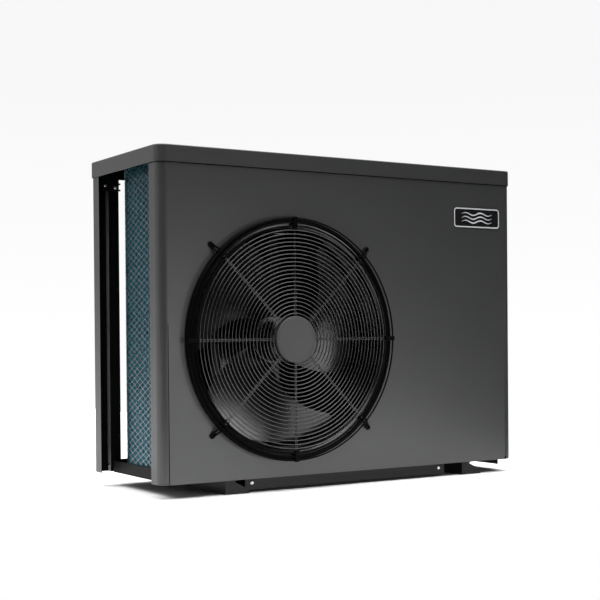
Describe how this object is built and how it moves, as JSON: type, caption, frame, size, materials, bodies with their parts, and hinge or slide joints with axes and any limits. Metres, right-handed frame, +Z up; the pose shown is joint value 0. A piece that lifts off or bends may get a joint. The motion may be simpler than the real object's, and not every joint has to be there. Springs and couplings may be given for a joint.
{
  "type": "pool heat pump unit",
  "caption": "Wide box-shaped outdoor pool heat pump with a round wire fan guard on its front, an open coil round the rear left corner, and water unions at the back.",
  "frame": {"origin": "on the floor, at the centre of the whole unit's footprint box", "axes": "+Z up; the fan faces -Y; +X is to the right as seen from the front, along the longest side"},
  "size_m": [0.9686, 0.4186, 0.721],
  "materials": {
    "anthracite_sheet": "satin powder coat",
    "black_sheet": "satin black powder coat",
    "guard_wire": "black coated wire",
    "hub_plate": "fine matt paint",
    "galvanised_steel": "zinc coated",
    "fan_plastic": "moulded, slightly rough",
    "coil_fins": "blue-green hydrophilic coated fins",
    "coil_mesh": "coated expanded metal",
    "compressor_paint": "gloss black paint",
    "rubber": "matt",
    "copper": "drawn tube",
    "exchanger_plastic": "grey PVC",
    "fitting_plastic": "dark grey PVC",
    "badge_plastic": "gloss plate",
    "circuit_board": "lacquered board",
    "control_plastic": "fine grain",
    "display_glass": "gloss",
    "clear_cover": "clear",
    "button_plastic": "fine grain",
    "needle_paint": "matt"
  },
  "bodies": {
    "chassis": {"front_panel": "anthracite_sheet", "top_lid": "anthracite_sheet", "rear_left_post": "anthracite_sheet", "right_side_panel": "anthracite_sheet", "rear_panel": "anthracite_sheet", "service_cover": "anthracite_sheet", "post_bracket": "black_sheet", "base_pan": "black_sheet", "left_foot": "black_sheet", "right_foot": "black_sheet", "front_rail": "black_sheet", "rear_rail": "black_sheet", "badge_plate": "badge_plastic", "bell_mouth": "black_sheet", "fan_guard": "guard_wire", "guard_hub_plate": "hub_plate", "fan_motor": "compressor_paint", "motor_bracket": "galvanised_steel", "evaporator_coil": "coil_fins", "coil_guard": "coil_mesh", "coil_end_plate_front": "galvanised_steel", "coil_end_plate_right": "galvanised_steel", "partition": "galvanised_steel", "compressor": "compressor_paint", "compressor_grommet_1": "rubber", "compressor_grommet_2": "rubber", "compressor_grommet_3": "rubber", "suction_accumulator": "compressor_paint", "heat_exchanger": "exchanger_plastic", "four_way_valve": "copper", "expansion_valve": "copper", "discharge_pipe": "copper", "suction_pipe": "copper", "gas_pipe": "copper", "exchanger_pipe": "copper", "liquid_pipe": "copper", "water_inlet_body": "fitting_plastic", "water_inlet_tail": "fitting_plastic", "water_outlet_body": "fitting_plastic", "water_outlet_tail": "fitting_plastic", "electrical_box": "galvanised_steel", "electrical_cover": "galvanised_steel", "inverter_board": "circuit_board", "controller_housing": "control_plastic", "controller_display": "display_glass", "gauge_body": "galvanised_steel", "gauge_lens": "clear_cover", "cable_gland": "fitting_plastic", "drain_nozzle": "fitting_plastic"},
    "fan": {"fan_rotor": "fan_plastic", "fan_nut": "galvanised_steel", "motor_shaft": "galvanised_steel"},
    "control_cover": {"controller_cover": "clear_cover"},
    "down_button": {"button_down": "button_plastic"},
    "power_button": {"button_power": "button_plastic"},
    "up_button": {"button_up": "button_plastic"},
    "pressure_needle": {"gauge_needle": "needle_paint"},
    "inlet_nut": {"water_inlet_nut": "fitting_plastic"},
    "outlet_nut": {"water_outlet_nut": "fitting_plastic"},
    "gland_cap": {"gland_nut": "fitting_plastic"}
  },
  "joints": [
    {"name": "fan_spin", "type": "hinge", "parent": "chassis", "child": "fan", "pos_m": [-0.16535, -0.10375, 0.323], "axis": [0, -1, 0], "continuous": true},
    {"name": "cover_flip", "type": "hinge", "parent": "chassis", "child": "control_cover", "pos_m": [0.47955, -0.04675, 0.643], "axis": [0, -1, 0], "range_deg": [0, 110]},
    {"name": "down_press", "type": "slide", "parent": "chassis", "child": "down_button", "axis": [-1, 0, 0], "range_m": [0, 0.001], "stiffness_N_per_m": 400},
    {"name": "power_press", "type": "slide", "parent": "chassis", "child": "power_button", "axis": [-1, 0, 0], "range_m": [0, 0.001], "stiffness_N_per_m": 400},
    {"name": "up_press", "type": "slide", "parent": "chassis", "child": "up_button", "axis": [-1, 0, 0], "range_m": [0, 0.001], "stiffness_N_per_m": 400},
    {"name": "needle_swing", "type": "hinge", "parent": "chassis", "child": "pressure_needle", "pos_m": [0.47155, 0.06525, 0.59], "axis": [-1, 0, 0], "range_deg": [0, 130], "stiffness_Nm_per_rad": 0.002},
    {"name": "inlet_nut_turn", "type": "hinge", "parent": "chassis", "child": "inlet_nut", "pos_m": [0.36565, 0.15325, 0.15], "axis": [0, -1, 0], "continuous": true},
    {"name": "outlet_nut_turn", "type": "hinge", "parent": "chassis", "child": "outlet_nut", "pos_m": [0.36565, 0.15325, 0.45], "axis": [0, -1, 0], "continuous": true},
    {"name": "gland_nut_turn", "type": "hinge", "parent": "chassis", "child": "gland_cap", "pos_m": [0.22065, 0.15325, 0.12], "axis": [0, -1, 0], "continuous": true}
  ]
}
